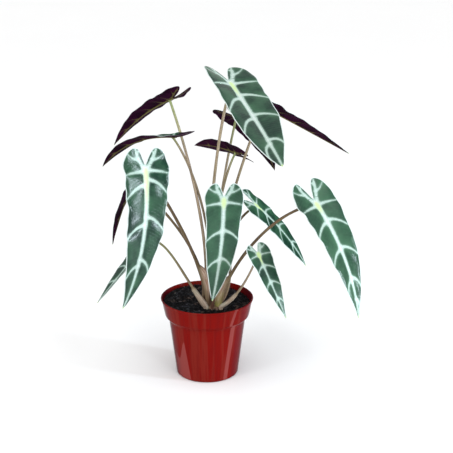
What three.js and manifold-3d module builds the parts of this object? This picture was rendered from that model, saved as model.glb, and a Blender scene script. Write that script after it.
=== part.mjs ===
// Potted alocasia: a nursery pot of soil, a corm and thirteen arrow-shaped leaves on long stems.
// Millimetres, +Z up, +X right, -Y toward the front. The origin is the middle of the pot's base.
import * as THREE from 'three';
import { mergeVertices } from 'three/addons/utils/BufferGeometryUtils.js';
import Module from 'manifold-3d';

const wasm = await Module();
wasm.setup();

// pot
const potHeight = 104;
const potRimRadius = 60;
const potBaseRadius = 40.3;
const potWall = 1.3;
const bandHeight = 22.5;        // the taller collar round the top
const bandStep = 4.6;         // how far the collar stands out from the body
const bodyTopRadius = 49.7;
const potSides = 64;

// soil
const soilLevel = 98.6;
const soilMound = 1.5;        // rise of the soil at its middle
const soilTilt = [-0.035, 0.02];  // the soil lies higher at the back left
const gap = 0.35;             // clear space between two pieces that touch

// corm
const cormCentre = [7, -19.5];
const cormRadius = 15;
const cormTop = 101.1;
const cormBottom = 87;
const stemFoot = 101.7;       // height at which the stems leave the corm

// leaves
const bladeThickness = 0.9;
const sinusDepth = 0.28;      // share of the lobe length that stays joined at the stem
const lobeTip = 0.45;         // where the lobe ends, as a share of the half width
const foldRound = 2;          // rounding of the fold along the midrib

// Each leaf: at is where the stem meets the blade. long runs from there to the tip, half is the half
// width, lobe is the length of the rear lobes as a share of long. heading (0 is +X, 90 is away), dip and
// roll aim the blade; bend droops it, fold closes it, sweep and twist turn it, lift raises the lobes.
// taper below 1 keeps a blade broad nearer its tip.
// root is the stem's place on the corm, and rise and reach are the two handles of its curve. A sheath
// widens the foot of its stem up to the share high, to the side given by hand.
const leaves = [
  {
    name: 'upper_left', at: [-47, 45, 355], long: 126, half: 22, lobe: 0.25,
    heading: 140, dip: -25, roll: -13, bend: 25, fold: 14, sweep: 3, twist: 4, lift: -23,
    root: [-3, -12.5], rise: [8, -8, 180], reach: [-24, 24, 292], thick: [2.2, 1.6],
  },
  {
    name: 'level_left', at: [-42, 0, 318], long: 118, half: 22, lobe: 0.23,
    heading: 163, dip: -1, roll: -8, bend: 49, fold: 9, sweep: 25, twist: -28, lift: -27,
    root: [1, -7.5], rise: [14, 8, 165], reach: [-10, 32, 262], thick: [2, 1.4],
  },
  {
    name: 'front_left', at: [-72, -70, 293], long: 173, half: 32, lobe: 0.17, taper: 0.92,
    heading: -77, dip: -68, roll: 22, bend: 36, fold: 4, sweep: 11, twist: 5, lift: -16,
    root: [1, -22.5], rise: [-3, -24, 163], reach: [-56, -38, 262], thick: [2.3, 1.8],
    sheath: { high: 0.27, half: 5.8, deep: 3.4, skew: 1.8, hand: 1 },
  },
  {
    name: 'front_centre', at: [22, -55, 251], long: 134, half: 25, lobe: 0.17, taper: 0.9,
    heading: -96, dip: -78, roll: 22, bend: 27, fold: 4, sweep: 3, twist: -1, lift: -13,
    root: [7, -29.5], rise: [15, -32, 150], reach: [22, -20, 236], thick: [2, 1.6],
  },
  {
    name: 'top', at: [31, -25, 390], long: 173, half: 35, lobe: 0.2, taper: 0.8,
    heading: -63, dip: -25, roll: 9, bend: -8, fold: 16, sweep: 14, twist: -34, lift: 11,
    root: [3, -18.5], rise: [0, -18, 188], reach: [11, -20, 322], thick: [2.3, 1.7],
  },
  {
    name: 'back_right', at: [70, 10, 355], long: 144, half: 26, lobe: 0.21,
    heading: 24, dip: -30, roll: 4, bend: 2, fold: 21, sweep: 3, twist: -4, lift: 6,
    root: [13, -18.5], rise: [4, -14, 176], reach: [47, -13, 291], thick: [2.1, 1.6],
  },
  {
    name: 'back_upper', at: [38, 60, 328], long: 129, half: 23, lobe: 0.26,
    heading: 46, dip: -34, roll: 22, bend: 17, fold: 3, sweep: -20, twist: 0, lift: 7,
    root: [8, -6.5], rise: [5, 18, 171], reach: [26, 64, 275], thick: [2, 1.5],
  },
  {
    name: 'back_lower', at: [37, 25, 291], long: 93, half: 16, lobe: 0.3,
    heading: 133, dip: 5, roll: -46, bend: 5, fold: 11, sweep: 29, twist: -14, lift: 6,
    root: [9, -12.5], rise: [5, -1, 156], reach: [14, 8, 251], thick: [2, 1.4],
  },
  {
    name: 'right_middle', at: [64, 25, 220], long: 124, half: 23, lobe: 0.2,
    heading: 22, dip: -43, roll: -29, bend: 19, fold: -2, sweep: 1, twist: -20, lift: 9,
    root: [18, -14.5], rise: [46, -3, 135], reach: [8, 5, 193], thick: [2, 1.5],
  },
  {
    name: 'front_right', at: [137, -45, 243], long: 151, half: 29, lobe: 0.23,
    heading: -48, dip: -40, roll: -11, bend: 42, fold: 7, sweep: 5, twist: 8, lift: -14,
    root: [16.5, -24.5], rise: [24, -25, 153], reach: [85, -32, 236], thick: [2.3, 1.7],
    sheath: { high: 0.24, half: 6, deep: 3.4, skew: 0.62, hand: -1 },
  },
  {
    name: 'low_right', at: [65, -60, 183], long: 85, half: 18, lobe: 0.18,
    heading: -48, dip: -54, roll: -4, bend: 11, fold: 11, sweep: -8, twist: 11, lift: 8,
    root: [18, -29.5], rise: [50, -34, 121], reach: [65, -45, 183], thick: [1.7, 1.2],
    sheath: { high: 0.24, half: 3.1, deep: 2.9, skew: 0.6, hand: 0 },
  },
  {
    name: 'far_left', at: [-92, 5, 258], long: 100, half: 18, lobe: 0.2,
    heading: 149, dip: -60, roll: 14, bend: 15, fold: 9, sweep: 0, twist: -4, lift: 5,
    root: [-6, -17.5], rise: [8, -8, 162], reach: [-62, 0, 232], thick: [2.1, 1.5],
  },
  {
    name: 'low_left', at: [-76, -25, 188], long: 103, half: 18, lobe: 0.2,
    heading: 191, dip: -51, roll: 0, bend: 2, fold: 14, sweep: 9, twist: 9, lift: 5,
    root: [-1, -28], rise: [-30, -29, 141], reach: [-51, -26, 202], thick: [1.9, 1.3],
    sheath: { high: 0.2, half: 4.2, deep: 3.6, skew: 0.45, hand: 0 },
  },
];

// colours
const potRed = new THREE.MeshStandardMaterial({ color: 0x8f2118, roughness: 0.28, metalness: 0 });
const soilBlack = new THREE.MeshStandardMaterial({ color: 0x1c1713, roughness: 0.95, metalness: 0 });
const cormPink = new THREE.MeshStandardMaterial({ color: 0xa08772, roughness: 0.6, metalness: 0 });
const stemOlive = new THREE.MeshStandardMaterial({ color: 0x8d8768, roughness: 0.5, metalness: 0 });
const leafGreen = new THREE.MeshStandardMaterial({ color: 0x33604c, roughness: 0.38, metalness: 0 });

const vec = (values) => new THREE.Vector3(...values);
const degrees = (angle) => THREE.MathUtils.degToRad(angle);

// a closed geometry from rows of points, as a manifold solid and back
function solidOf(geometry) {
  const plain = new THREE.BufferGeometry();
  plain.setAttribute('position', geometry.getAttribute('position').clone());
  if (geometry.index) {
    plain.setIndex(geometry.index.clone());
  }
  const welded = mergeVertices(plain, 1e-4);
  const corners = [];
  for (let i = 0; i < welded.index.count; i += 3) {
    const [a, b, c] = [0, 1, 2].map((k) => welded.index.getX(i + k));
    if (a !== b && b !== c && c !== a) {
      corners.push(a, b, c);
    }
  }
  return new wasm.Manifold(new wasm.Mesh({
    numProp: 3,
    vertProperties: new Float32Array(welded.getAttribute('position').array),
    triVerts: new Uint32Array(corners),
  }));
}

function geometryOf(solid) {
  const mesh = solid.getMesh();
  const geometry = new THREE.BufferGeometry();
  geometry.setAttribute('position', new THREE.BufferAttribute(new Float32Array(mesh.vertProperties), 3));
  geometry.setIndex(new THREE.BufferAttribute(new Uint32Array(mesh.triVerts), 1));
  geometry.computeVertexNormals();
  return geometry;
}

// a solid turned round Z from [radius, height] pairs
function turned(outline, sides) {
  const lathe = new THREE.LatheGeometry(outline.map(([r, z]) => new THREE.Vector2(r, z)), sides);
  lathe.rotateX(Math.PI / 2);
  return lathe;
}

// ---------- pot, soil and corm ----------

const bandBottom = potHeight - bandHeight;
const bandFootRadius = bodyTopRadius + bandStep;

function potGeometry() {
  const outline = [
    [0, 0],
    [potBaseRadius - 1.2, 0],
    [potBaseRadius, 1.2],
    [bodyTopRadius, bandBottom - 5.5],
    [bandFootRadius, bandBottom - 1],
    [bandFootRadius + 0.5, bandBottom + 0.5],
    [potRimRadius - 1, potHeight - 2.2],
    [potRimRadius, potHeight - 1.6],
    [potRimRadius, potHeight - 0.6],
    [potRimRadius - 0.6, potHeight],
    [potRimRadius - 1.6, potHeight],
    [potRimRadius - 2.3, potHeight - 1.4],
    [bandFootRadius + 0.5 - potWall, bandBottom + 1],
    [bandFootRadius - potWall, bandBottom],
    [bodyTopRadius - potWall, bandBottom - 4.6],
    [potBaseRadius - potWall, 1.7],
    [0, 1.7],
  ];
  return turned(outline, potSides);
}

// height of the soil above a place on it
function soilHeight(x, y) {
  const middle = 1 - Math.min(1, Math.hypot(x, y) / 50) ** 2;
  return soilLevel + soilMound * middle + soilTilt[0] * x + soilTilt[1] * y;
}

function soilGeometry() {
  const clear = potWall + gap;
  const wallAt = (z) => bandFootRadius + (potRimRadius - bandFootRadius - 1) * ((z - bandBottom) / bandHeight);
  const outline = [
    [0, 1.7 + gap],
    [potBaseRadius - clear, 1.7 + gap],
    [bodyTopRadius - clear, bandBottom - 4.4],
    [bandFootRadius - clear, bandBottom + 0.2],
    [wallAt(92) - clear, 92],
    [wallAt(soilLevel - 2.5) - clear, soilLevel - 2.5],
  ];
  for (const share of [1, 0.8, 0.6, 0.4, 0.2, 0]) {
    outline.push([share * (wallAt(soilLevel - 2.5) - clear), soilLevel]);
  }
  const geometry = turned(outline, 48);
  const position = geometry.getAttribute('position');
  for (let i = 0; i < position.count; i += 1) {
    if (position.getZ(i) > soilLevel - 1) {
      position.setZ(i, soilHeight(position.getX(i), position.getY(i)));
    }
  }
  return geometry;
}

function cormGeometry(extra = 0) {
  const radius = cormRadius + extra;
  const outline = [
    [0, cormBottom - extra],
    [radius * 0.6, cormBottom - extra],
    [radius * 0.92, cormBottom + 4],
    [radius, cormTop - 5],
    [radius * 0.95, cormTop - 1 + extra],
    [radius * 0.8, cormTop + extra],
    [0, cormTop + extra],
  ];
  const geometry = turned(outline, 32);
  geometry.translate(...cormCentre, 0);
  return geometry;
}

// ---------- blades ----------

// half width of the blade as a share of the widest, ahead of the stem (u from 0 to 1) and behind it
function margin(u, leaf) {
  if (u >= 0) {
    const dip = u < 0.42 ? 0.06 * Math.sin((Math.PI * u) / 0.42) : 0;
    return Math.max(0, 1 - u * u) ** (leaf.taper ?? 1) - dip;
  }
  const back = Math.min(1, -u / leaf.lobe);
  return lobeTip + (1 - lobeTip) * Math.sqrt(Math.max(0, 1 - back ** 2.2));
}

// edge of the sinus between the two lobes
function sinus(u, lobe) {
  const back = Math.min(1, Math.max(0, -u / lobe));
  const open = Math.max(0, (back - sinusDepth) / (1 - sinusDepth));
  return lobeTip * (1 - Math.sqrt(Math.max(0, 1 - open ** 0.85)));
}

// the three directions of a leaf: along the midrib, across, and out of its upper face
function leafAxes(leaf) {
  const [h, p, r] = [degrees(leaf.heading), degrees(leaf.dip), degrees(leaf.roll)];
  const along = new THREE.Vector3(Math.cos(h) * Math.cos(p), Math.sin(h) * Math.cos(p), Math.sin(p));
  const level = new THREE.Vector3().crossVectors(along, vec([0, 0, 1])).normalize();
  const across = level.clone().applyAxisAngle(along, -r);
  const up = new THREE.Vector3().crossVectors(across, along);
  return { along, across, up };
}

// a point of the blade's middle surface: u along in lengths, t across in mm
function bladePoint(leaf, u, t) {
  const { along, across, up } = leafAxes(leaf);
  const front = u >= 0;
  const rate = (front ? degrees(leaf.bend) : degrees(leaf.lift) / leaf.lobe) || 1e-6;
  const angle = rate * u;
  const point = vec(leaf.at);
  point.addScaledVector(along, (Math.sin(angle) / rate) * leaf.long);
  point.addScaledVector(up, (-(1 - Math.cos(angle)) / rate) * leaf.long);
  point.addScaledVector(across, front ? degrees(leaf.sweep) * u * u * leaf.long * 0.5 : 0);
  const normal = up.clone().multiplyScalar(Math.cos(angle)).addScaledVector(along, Math.sin(angle));
  const turn = front ? degrees(leaf.twist) * u : 0;
  const side = across.clone().multiplyScalar(Math.cos(turn)).addScaledVector(normal, Math.sin(turn));
  normal.multiplyScalar(Math.cos(turn)).addScaledVector(across, -Math.sin(turn));
  const rise = Math.sqrt(t * t + foldRound * foldRound) - foldRound;
  point.addScaledVector(side, t * Math.cos(degrees(leaf.fold)));
  return point.addScaledVector(normal, rise * Math.sin(degrees(leaf.fold)));
}

function bladeNormal(leaf, u, t) {
  const step = 0.002;
  const alongStep = bladePoint(leaf, u + step, t).sub(bladePoint(leaf, u - step, t));
  const acrossStep = bladePoint(leaf, u, t + 0.2).sub(bladePoint(leaf, u, t - 0.2));
  return acrossStep.cross(alongStep).normalize();
}

// the blade as one closed solid, in two halves that meet along the midrib
function bladeGeometry(leaf, thickness) {
  const rows = [];
  for (const share of [1, 0.94, 0.8, 0.6, 0.28 / 1]) {
    rows.push(-leaf.lobe * share);
  }
  rows.push(-leaf.lobe * 0.14, 0, 0.08, 0.17, 0.27, 0.37, 0.47, 0.57, 0.67, 0.77, 0.86, 0.94, 1);
  const columns = 3;
  const spots = [];
  const add = (...corners) => corners.forEach((corner) => spots.push(corner.x, corner.y, corner.z));

  for (const hand of [1, -1]) {
    const top = [];
    const bottom = [];
    for (const u of rows) {
      const inner = u < -leaf.lobe * sinusDepth ? sinus(u, leaf.lobe) * leaf.half : 0;
      const outer = Math.max(inner, margin(u, leaf) * leaf.half);
      const topRow = [];
      const bottomRow = [];
      for (let j = 0; j <= columns; j += 1) {
        const t = hand * (inner + ((outer - inner) * j) / columns);
        const point = bladePoint(leaf, u, t);
        const shift = bladeNormal(leaf, u, t).multiplyScalar(thickness / 2);
        topRow.push(point.clone().add(shift));
        bottomRow.push(point.clone().sub(shift));
      }
      top.push(topRow);
      bottom.push(bottomRow);
    }
    const face = (a, b, c) => (hand > 0 ? add(a, b, c) : add(a, c, b));
    const quad = (a, b, c, d) => {
      face(a, b, c);
      face(a, c, d);
    };
    for (let i = 0; i < rows.length - 1; i += 1) {
      for (let j = 0; j < columns; j += 1) {
        quad(top[i][j], top[i][j + 1], top[i + 1][j + 1], top[i + 1][j]);
        quad(bottom[i][j], bottom[i + 1][j], bottom[i + 1][j + 1], bottom[i][j + 1]);
      }
      quad(top[i][columns], bottom[i][columns], bottom[i + 1][columns], top[i + 1][columns]);
      if (rows[i + 1] <= -leaf.lobe * sinusDepth + 1e-9) {
        quad(bottom[i][0], top[i][0], top[i + 1][0], bottom[i + 1][0]);
      }
    }
  }
  const geometry = new THREE.BufferGeometry();
  geometry.setAttribute('position', new THREE.Float32BufferAttribute(spots, 3));
  return geometry;
}

// ---------- stems ----------

// half width, half depth and sideways shift of a stem at a share of its length
function stemSize(leaf, share) {
  const [foot, neck] = leaf.thick;
  const round = foot + (neck - foot) * share ** 0.7;
  if (!leaf.sheath || share > leaf.sheath.high) {
    return [round, round, 0];
  }
  const { high, half, deep, skew, hand } = leaf.sheath;
  const reach = Math.max(share, 0.03) / high;
  const swell = Math.sin(Math.PI * reach ** skew) ** 0.8;
  const wide = round + (half - round) * swell;
  return [wide, round + (deep - round) * swell, hand * (wide - round)];
}

// a stem as one tapered solid from the corm to just under its blade
function stemGeometry(leaf, extra = 0) {
  const sides = 8;
  const { along, across, up } = leafAxes(leaf);
  const end = vec(leaf.at).addScaledVector(up, -(bladeThickness / 2 + gap));
  const curve = new THREE.CubicBezierCurve3(
    vec([...leaf.root, stemFoot]), vec(leaf.rise), vec(leaf.reach), end,
  );
  const shares = [0, 0.03, 0.07, 0.12, 0.17, 0.22, 0.28, 0.35, 0.43, 0.52, 0.61, 0.7, 0.79, 0.88, 0.95];
  const rings = [];
  let wide = new THREE.Vector3(1, 0, 0);
  for (const share of shares) {
    const centre = curve.getPoint(share);
    const way = share === 0 ? new THREE.Vector3(0, 0, 1) : curve.getTangent(share);
    wide = wide.clone().addScaledVector(way, -wide.dot(way)).normalize();
    const deep = new THREE.Vector3().crossVectors(way, wide);
    const [a, b, shift] = stemSize(leaf, share);
    rings.push(ring(centre.addScaledVector(wide, shift), wide, deep, a + extra, b + extra, sides));
  }
  const cap = wide.clone().addScaledVector(up, -wide.dot(up)).normalize();
  const capSide = new THREE.Vector3().crossVectors(up, cap);
  rings.push(ring(end, cap, capSide, leaf.thick[1] + extra, leaf.thick[1] + extra, sides));
  return loft(rings);
}

function ring(centre, wide, deep, a, b, sides) {
  const points = [];
  for (let k = 0; k < sides; k += 1) {
    const angle = (k / sides) * 2 * Math.PI;
    const point = centre.clone().addScaledVector(wide, a * Math.cos(angle));
    points.push(point.addScaledVector(deep, b * Math.sin(angle)));
  }
  return points;
}

// a closed skin over a row of rings, with a fan at each end
function loft(rings) {
  const spots = [];
  const add = (...corners) => corners.forEach((corner) => spots.push(corner.x, corner.y, corner.z));
  const sides = rings[0].length;
  for (let i = 0; i < rings.length - 1; i += 1) {
    for (let k = 0; k < sides; k += 1) {
      const next = (k + 1) % sides;
      add(rings[i][k], rings[i][next], rings[i + 1][next]);
      add(rings[i][k], rings[i + 1][next], rings[i + 1][k]);
    }
  }
  const last = rings[rings.length - 1];
  for (let k = 1; k < sides - 1; k += 1) {
    add(rings[0][0], rings[0][k + 1], rings[0][k]);
    add(last[0], last[k], last[k + 1]);
  }
  const geometry = new THREE.BufferGeometry();
  geometry.setAttribute('position', new THREE.Float32BufferAttribute(spots, 3));
  return geometry;
}

// ---------- assembly ----------

const plant = new THREE.Group();
plant.name = 'potted_alocasia';

function place(name, geometry, material) {
  const mesh = new THREE.Mesh(geometry, material);
  mesh.name = name;
  plant.add(mesh);
}

const stemClear = leaves.map((leaf) => solidOf(stemGeometry(leaf, gap)));

place('pot', geometryOf(solidOf(potGeometry())), potRed);
place('soil', geometryOf(solidOf(soilGeometry()).subtract(solidOf(cormGeometry(gap)))), soilBlack);
place('corm', geometryOf(solidOf(cormGeometry())), cormPink);

leaves.forEach((leaf, index) => {
  let stem = solidOf(stemGeometry(leaf));
  for (const other of stemClear.slice(0, index)) {
    stem = stem.subtract(other);
  }
  stem = stem.subtract(solidOf(bladeGeometry(leaf, bladeThickness + 2 * gap - 0.02)));
  place(`stem_${leaf.name}`, geometryOf(stem), stemOlive);
  place(`blade_${leaf.name}`, geometryOf(solidOf(bladeGeometry(leaf, bladeThickness))), leafGreen);
});

export default plant;
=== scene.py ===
import math
import random
import bmesh
import bpy
import numpy as np
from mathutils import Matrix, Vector


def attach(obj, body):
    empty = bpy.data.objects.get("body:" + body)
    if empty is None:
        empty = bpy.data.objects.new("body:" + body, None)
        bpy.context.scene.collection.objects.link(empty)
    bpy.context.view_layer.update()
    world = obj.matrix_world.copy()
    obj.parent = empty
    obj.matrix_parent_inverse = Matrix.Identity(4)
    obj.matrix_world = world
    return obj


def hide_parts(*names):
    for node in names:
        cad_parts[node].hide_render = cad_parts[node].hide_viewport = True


# Potted alocasia: a glossy nursery pot of peat, a corm and thirteen veined leaves on striped stems.
# Sizes in the dictionaries are millimetres and degrees; meshes are made in metres.
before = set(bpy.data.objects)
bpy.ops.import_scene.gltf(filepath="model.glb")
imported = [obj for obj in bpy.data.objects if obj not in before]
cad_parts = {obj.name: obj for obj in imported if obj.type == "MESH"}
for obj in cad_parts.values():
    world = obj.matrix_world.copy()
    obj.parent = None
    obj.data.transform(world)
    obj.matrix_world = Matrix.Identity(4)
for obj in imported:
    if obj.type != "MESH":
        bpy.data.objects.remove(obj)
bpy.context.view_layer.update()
mm = 0.001


def meshPiece(name, spots, faces, floats=None, slots=None, uvs=None, materials=()):
    # spots in millimetres; floats are named numbers on the vertices that the materials read
    mesh = bpy.data.meshes.new(name)
    mesh.from_pydata((np.asarray(spots) * mm).tolist(), [], faces)
    for key, values in (floats or {}).items():
        layer = mesh.attributes.new(key, "FLOAT", "POINT")
        layer.data.foreach_set("value", np.asarray(values, dtype=np.float32))
    if slots is not None:
        mesh.polygons.foreach_set("material_index", slots)
    if uvs is not None:
        layer = mesh.uv_layers.new(name="OFBake")
        corners = np.empty(len(mesh.loops), dtype=np.int32)
        mesh.loops.foreach_get("vertex_index", corners)
        layer.data.foreach_set("uv", np.asarray(uvs, dtype=np.float32)[corners].ravel())
    for material in materials:
        mesh.materials.append(material)
    piece = bpy.data.objects.new(name, mesh)
    bpy.context.scene.collection.objects.link(piece)
    return piece


weldGap = 0.00002  # metres


def tidyMesh(piece):
    # welds coincident points, turns the faces outwards and smooths the shading
    work = bmesh.new()
    work.from_mesh(piece.data)
    bmesh.ops.remove_doubles(work, verts=work.verts, dist=weldGap)
    bmesh.ops.recalc_face_normals(work, faces=work.faces)
    work.to_mesh(piece.data)
    work.free()
    piece.data.polygons.foreach_set("use_smooth", [True] * len(piece.data.polygons))
    piece.data.update()


def ringFaces(rings, sides, inward=False):
    # quads between neighbouring rings of points
    faces = []
    for i in range(rings - 1):
        for k in range(sides):
            a, b = i * sides + k, i * sides + (k + 1) % sides
            faces.append((a, a + sides, b + sides, b) if inward else (a, b, b + sides, a + sides))
    return faces


def fromTo(pair, share):
    return pair[0] + (pair[1] - pair[0]) * share


class Recipe:
    # wires up one procedural material
    def __init__(self, name):
        self.material = bpy.data.materials.new(name)
        self.material.use_nodes = True
        self.tree = self.material.node_tree
        self.shader = self.tree.nodes["Principled BSDF"]

    def put(self, socket, value):
        if isinstance(value, bpy.types.NodeSocket):
            self.tree.links.new(value, socket)
        else:
            socket.default_value = value

    def node(self, kind, settings=None, inputs=None, output=0):
        made = self.tree.nodes.new(kind)
        for key, value in (settings or {}).items():
            setattr(made, key, value)
        for key, value in (inputs or {}).items():
            self.put(made.inputs[key], value)
        return made.outputs[output]

    def read(self, name):
        return self.node("ShaderNodeAttribute", {"attribute_name": name}, output="Fac")

    def places(self):
        return self.node("ShaderNodeTexCoord", output="Object")

    def maths(self, kind, first, second=0.0, third=0.0):
        return self.node("ShaderNodeMath", {"operation": kind}, {0: first, 1: second, 2: third})

    def ramp(self, value, low, high, toLow=0.0, toHigh=1.0):
        return self.node("ShaderNodeMapRange", {"interpolation_type": "SMOOTHSTEP"},
                         {"Value": value, "From Min": low, "From Max": high,
                          "To Min": toLow, "To Max": toHigh})

    def times(self, first, second):
        return self.maths("MULTIPLY", first, second)

    def plus(self, first, second):
        return self.maths("ADD", first, second)

    def mix(self, share, first, second):
        # 6, 7 and 2 are the node's colour sockets
        made = self.tree.nodes.new("ShaderNodeMix")
        made.data_type = "RGBA"
        self.put(made.inputs[0], share)
        for socket, colour in ((6, first), (7, second)):
            self.put(made.inputs[socket], colour + (1.0,) if isinstance(colour, tuple) else colour)
        return made.outputs[2]

    def noise(self, place, scale, detail=4.0, rough=0.55, stretch=None):
        if stretch:
            place = self.node("ShaderNodeMapping", inputs={"Vector": place, "Scale": stretch})
        return self.node("ShaderNodeTexNoise", inputs={"Vector": place, "Scale": scale,
                                                       "Detail": detail, "Roughness": rough})

    def bump(self, height, relief):
        strength, depth = relief
        return self.node("ShaderNodeBump", inputs={"Height": height, "Strength": strength, "Distance": depth})

    def finish(self, colour, rough, normal=None, **steady):
        self.put(self.shader.inputs["Base Color"], colour)
        self.put(self.shader.inputs["Roughness"], rough)
        if normal is not None:
            self.put(self.shader.inputs["Normal"], normal)
        for key, value in steady.items():
            self.shader.inputs[key.replace("_", " ")].default_value = value
        return self.material


leafLook = {
    "green": (0.017, 0.060, 0.035),
    "greenLight": (0.048, 0.132, 0.070),
    "greenDeep": (0.005, 0.022, 0.016),
    "vein": (0.375, 0.505, 0.440),
    "veinPale": (0.580, 0.670, 0.635),
    "heart": (0.52, 0.68, 0.26),
    "rim": (0.580, 0.660, 0.635),
    "underDark": (0.0110, 0.0018, 0.0080),
    "underPurple": (0.0280, 0.0040, 0.0200),
    "underRib": (0.190, 0.170, 0.055),
    "wobbleScale": 300.0,       # noise scales, larger for finer patterns
    "blotchScale": 38.0,
    "fineScale": 900.0,
    "underBlotchScale": 60.0,
    "underFineScale": 1100.0,
    "rimWidth": 0.8,            # mm
    "evenGreen": 0.30,          # share of plain green over the blotches
    "panelDark": (9.0, 0.35),   # mm from a vein where a panel is darkest, and how much
    "lineWidth": 0.22,          # fine side veins in the panels
    "lineShare": 0.28,
    "ragged": 1.6,              # mm that a vein's edge wanders
    "halo": (2.2, 0.22),        # mm and strength of the paler strip beside a vein
    "dusty": 0.22,              # how much green shows through the veins
    "rough": 0.15,
    "duskRough": 0.6,           # extra roughness of the dark lobes
    "shine": 0.26,
    "relief": (0.45, 0.0006),   # strength of the fine bumps and their depth in metres
    "midRib": (-1.5, -0.4, 0.90),   # mm past its edge where it is full and where it ends, and its strength
    "sideRib": (-1.0, 0.0, 0.42),
    "underRough": (0.42, 0.58),
    "underShine": 0.004,
    "underRelief": (0.3, 0.0004),
}


def makeLeafTop(name, look, shine):
    r = Recipe(name)
    place = r.places()
    veinEdge, rimEdge, heart = r.read("veinEdge"), r.read("rimEdge"), r.read("heart")
    stripe, tone, dusk = r.read("stripe"), r.read("tone"), r.read("dusk")
    wobble = r.noise(place, look["wobbleScale"], 4.0, 0.65)
    blotch = r.noise(place, look["blotchScale"], 3.0)
    fine = r.noise(place, look["fineScale"], 4.0)
    # panels between the veins: a slow change of green, fine side veins and a darker middle
    body = r.mix(r.ramp(blotch, 0.35, 0.68), look["greenDeep"], look["greenLight"])
    body = r.mix(look["evenGreen"], body, look["green"])
    reach, share = look["panelDark"]
    body = r.mix(r.ramp(veinEdge, 0.0, reach, 0.0, share), body, look["greenDeep"])
    line = r.ramp(r.maths("ABSOLUTE", r.maths("SINE", stripe)), 0.0, look["lineWidth"], 1.0, 0.0)
    body = r.mix(r.times(line, look["lineShare"]), body, look["greenLight"])
    # tone above 0 makes a leaf lighter, below 0 deeper
    body = r.mix(r.times(r.maths("MAXIMUM", tone, 0.0), 0.45), body, look["greenLight"])
    body = r.mix(r.maths("MAXIMUM", r.times(tone, -1.0), 0.0), body, look["greenDeep"])
    # pale veins with a slightly ragged edge, yellower at the stem
    ragged = r.plus(veinEdge, r.times(r.maths("SUBTRACT", wobble, 0.5), look["ragged"]))
    veinShare = r.ramp(ragged, -0.35, 0.55, 1.0, 0.0)
    reach, share = look["halo"]
    halo = r.ramp(ragged, 0.0, reach, share, 0.0)
    pale = r.mix(r.ramp(ragged, -2.6, -0.4, 1.0, 0.0), look["vein"], look["veinPale"])
    pale = r.mix(r.ramp(fine, 0.40, 0.70, 0.0, look["dusty"]), pale, look["greenLight"])
    pale = r.mix(r.ramp(heart, 0.35, 1.2, 0.80, 0.0), pale, look["heart"])
    colour = r.mix(veinShare, r.mix(halo, body, look["vein"]), pale)
    rimShare = r.ramp(r.plus(rimEdge, r.times(wobble, 0.35)),
                      look["rimWidth"], look["rimWidth"] + 0.5, 1.0, 0.0)
    colour = r.mix(rimShare, colour, look["rim"])
    colour = r.mix(dusk, colour, look["underPurple"])
    rough = r.ramp(blotch, 0.3, 0.7, look["rough"] - 0.05, look["rough"] + 0.08)
    rough = r.plus(r.plus(rough, r.times(veinShare, 0.08)), r.times(dusk, look["duskRough"]))
    height = r.plus(r.plus(r.times(line, -0.25), r.times(fine, 0.35)), r.times(blotch, 1.2))
    return r.finish(colour, rough, r.bump(height, look["relief"]), Specular_IOR_Level=shine)


def makeLeafUnder(look):
    r = Recipe("leaf_under_face")
    place = r.places()
    blotch = r.noise(place, look["underBlotchScale"], 4.0)
    fine = r.noise(place, look["underFineScale"], 4.0)
    colour = r.mix(r.ramp(blotch, 0.35, 0.65), look["underDark"], look["underPurple"])
    wobble = r.times(r.maths("SUBTRACT", fine, 0.5), 0.5)
    for edge, key in (("veinEdge", "sideRib"), ("midEdge", "midRib")):
        full, end, share = look[key]
        rib = r.ramp(r.plus(r.read(edge), wobble), full, end, share, 0.0)
        colour = r.mix(rib, colour, look["underRib"])
    colour = r.mix(r.ramp(r.read("rimEdge"), 0.1, 0.45, 0.12, 0.0), colour, look["rim"])
    rough = r.ramp(blotch, 0.3, 0.7, *look["underRough"])
    normal = r.bump(r.plus(fine, blotch), look["underRelief"])
    return r.finish(colour, rough, normal, Specular_IOR_Level=look["underShine"])


leafTop = makeLeafTop("leaf_upper_face", leafLook, leafLook["shine"])
leafTopDull = makeLeafTop("leaf_upper_face_dull", leafLook, 0.0)
leafUnder = makeLeafUnder(leafLook)
print("leaf materials made")


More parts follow.
